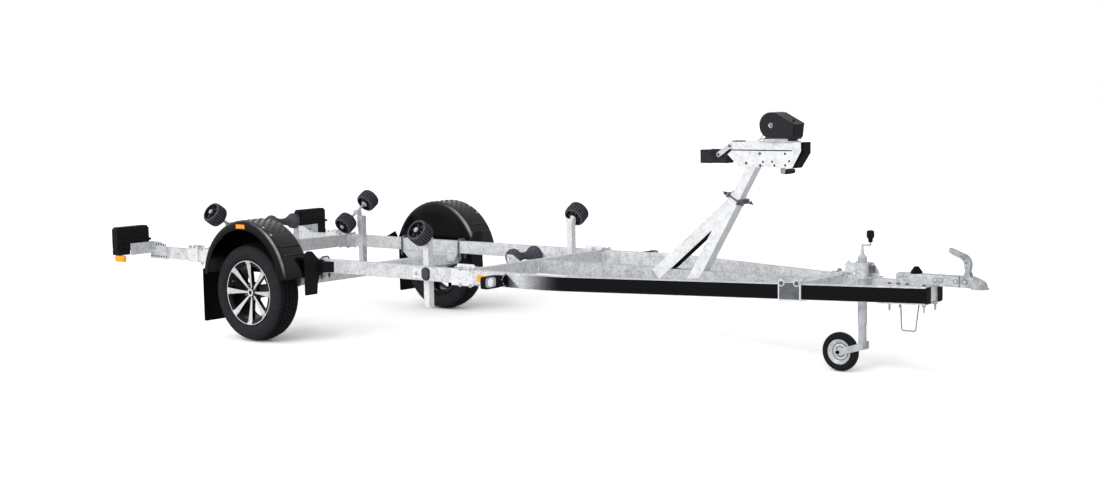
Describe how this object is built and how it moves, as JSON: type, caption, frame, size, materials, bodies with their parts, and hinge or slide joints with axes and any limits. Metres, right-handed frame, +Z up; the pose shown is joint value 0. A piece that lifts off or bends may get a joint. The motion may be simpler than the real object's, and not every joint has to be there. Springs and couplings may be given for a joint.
{
  "type": "boat trailer",
  "caption": "Single-axle boat trailer with a bolted tube frame, keel and side rollers, winch post, ball coupling, jockey wheel, fenders and lamp carriers.",
  "frame": {"origin": "on the ground under the middle of the trailer's overall length and width", "axes": "+X forward to the coupling, +Y to the left, +Z up"},
  "size_m": [5.646, 1.916, 1.353],
  "materials": {
    "galvanised_steel": "hot-dip galvanised, satin",
    "zinc_plated_steel": "zinc plated, satin",
    "cast_steel": "cast, dark",
    "cast_alloy": "machined and lacquered",
    "tyre_rubber": "moulded",
    "black_rubber": "moulded",
    "black_plastic": "moulded, satin",
    "amber_plastic": "moulded, clear"
  },
  "bodies": {
    "frame": {"rail_left": "galvanised_steel", "rail_right": "galvanised_steel", "member_rear": "galvanised_steel", "member_middle": "galvanised_steel", "member_front": "galvanised_steel", "rail_clamps": "galvanised_steel", "centre_beam": "galvanised_steel", "axle_beam": "galvanised_steel", "keel_brackets": "galvanised_steel", "posts_front": "galvanised_steel", "posts_rear": "galvanised_steel", "winch_leg": "galvanised_steel", "winch_brace": "galvanised_steel", "winch_stem": "galvanised_steel", "head_tube": "galvanised_steel", "head_plates": "galvanised_steel", "end_plates": "galvanised_steel", "lamp_carriers": "galvanised_steel", "leg_clamp": "zinc_plated_steel", "bow_links": "zinc_plated_steel", "winch_frame": "zinc_plated_steel", "coupling_body": "zinc_plated_steel", "coupling_head": "zinc_plated_steel", "plug_holder": "zinc_plated_steel", "jockey_bracket": "zinc_plated_steel", "swing_arms": "cast_steel", "bow_stop": "black_rubber", "mud_flaps": "black_rubber", "marker_lamps": "black_rubber", "end_caps": "black_plastic", "fender_left": "black_plastic", "fender_right": "black_plastic", "fender_stays": "black_plastic", "winch_cover": "black_plastic", "rear_lamps": "black_plastic", "reflectors": "amber_plastic"},
    "wheel_left": {"hub_left": "cast_steel", "rim_left": "cast_alloy", "tyre_left": "tyre_rubber"},
    "wheel_right": {"hub_right": "cast_steel", "rim_right": "cast_alloy", "tyre_right": "tyre_rubber"},
    "keel_roller_rear": {"keel_roller_rear": "black_rubber"},
    "keel_roller_middle": {"keel_roller_middle": "black_rubber"},
    "roller_front_left": {"roller_front_left": "black_rubber"},
    "roller_front_right": {"roller_front_right": "black_rubber"},
    "rocker_left": {"rocker_left": "galvanised_steel"},
    "rocker_right": {"rocker_right": "galvanised_steel"},
    "roller_rear_left_inner": {"roller_rear_left_inner": "black_rubber"},
    "roller_rear_left_outer": {"roller_rear_left_outer": "black_rubber"},
    "roller_rear_right_inner": {"roller_rear_right_inner": "black_rubber"},
    "roller_rear_right_outer": {"roller_rear_right_outer": "black_rubber"},
    "winch_drum": {"winch_drum": "zinc_plated_steel", "winch_grip": "black_plastic"},
    "coupling_lever": {"coupling_lever": "zinc_plated_steel"},
    "jockey_column": {"jockey_column": "zinc_plated_steel", "jockey_grip": "black_plastic"},
    "jockey_leg": {"jockey_leg": "galvanised_steel"},
    "jockey_wheel": {"jockey_rim": "zinc_plated_steel", "jockey_tyre": "black_rubber"}
  },
  "joints": [
    {"name": "wheel_left_spin", "type": "hinge", "parent": "frame", "child": "wheel_left", "pos_m": [-1.495, 0.84, 0.298], "axis": [0, 1, 0], "continuous": true},
    {"name": "wheel_right_spin", "type": "hinge", "parent": "frame", "child": "wheel_right", "pos_m": [-1.495, -0.84, 0.298], "axis": [0, 1, 0], "continuous": true},
    {"name": "keel_rear_spin", "type": "hinge", "parent": "frame", "child": "keel_roller_rear", "pos_m": [-2.195, 0, 0.629], "axis": [0, 1, 0], "continuous": true},
    {"name": "keel_middle_spin", "type": "hinge", "parent": "frame", "child": "keel_roller_middle", "pos_m": [-0.09, 0, 0.509], "axis": [0, 1, 0], "continuous": true},
    {"name": "side_front_left_spin", "type": "hinge", "parent": "frame", "child": "roller_front_left", "pos_m": [-0.179, 0.628, 0.71], "axis": [0, 0.8387, 0.5446], "continuous": true},
    {"name": "side_front_right_spin", "type": "hinge", "parent": "frame", "child": "roller_front_right", "pos_m": [-0.33, -0.628, 0.686], "axis": [0, -0.8387, 0.5446], "continuous": true},
    {"name": "rocker_left_tilt", "type": "hinge", "parent": "frame", "child": "rocker_left", "pos_m": [-2.063, 0.568, 0.661], "axis": [1, 0, 0], "range_deg": [-40, 5]},
    {"name": "rocker_right_tilt", "type": "hinge", "parent": "frame", "child": "rocker_right", "pos_m": [-2.063, -0.568, 0.661], "axis": [-1, 0, 0], "range_deg": [-40, 5]},
    {"name": "side_rear_left_inner_spin", "type": "hinge", "parent": "rocker_left", "child": "roller_rear_left_inner", "pos_m": [-2.063, 0.45897, 0.5902], "axis": [0, 0.8387, 0.5446], "continuous": true},
    {"name": "side_rear_left_outer_spin", "type": "hinge", "parent": "rocker_left", "child": "roller_rear_left_outer", "pos_m": [-2.063, 0.67703, 0.7318], "axis": [0, 0.8387, 0.5446], "continuous": true},
    {"name": "side_rear_right_inner_spin", "type": "hinge", "parent": "rocker_right", "child": "roller_rear_right_inner", "pos_m": [-2.063, -0.45897, 0.5902], "axis": [0, -0.8387, 0.5446], "continuous": true},
    {"name": "side_rear_right_outer_spin", "type": "hinge", "parent": "rocker_right", "child": "roller_rear_right_outer", "pos_m": [-2.063, -0.67703, 0.7318], "axis": [0, -0.8387, 0.5446], "continuous": true},
    {"name": "winch_spin", "type": "hinge", "parent": "frame", "child": "winch_drum", "pos_m": [1.642, 0, 1.285], "axis": [0, 1, 0], "continuous": true},
    {"name": "coupling_lever_lift", "type": "hinge", "parent": "frame", "child": "coupling_lever", "pos_m": [2.715, 0, 0.568], "axis": [0, 1, 0], "range_deg": [-35, 20]},
    {"name": "jockey_slide", "type": "slide", "parent": "frame", "child": "jockey_column", "axis": [0, 0, 1], "range_m": [0, 0.18]},
    {"name": "jockey_swivel", "type": "hinge", "parent": "jockey_column", "child": "jockey_leg", "pos_m": [2.079, 0.12, 0.103], "axis": [0, 0, 1], "continuous": true},
    {"name": "jockey_wheel_spin", "type": "hinge", "parent": "jockey_leg", "child": "jockey_wheel", "pos_m": [1.952, 0.12, 0.103], "axis": [0, 1, 0], "continuous": true}
  ]
}
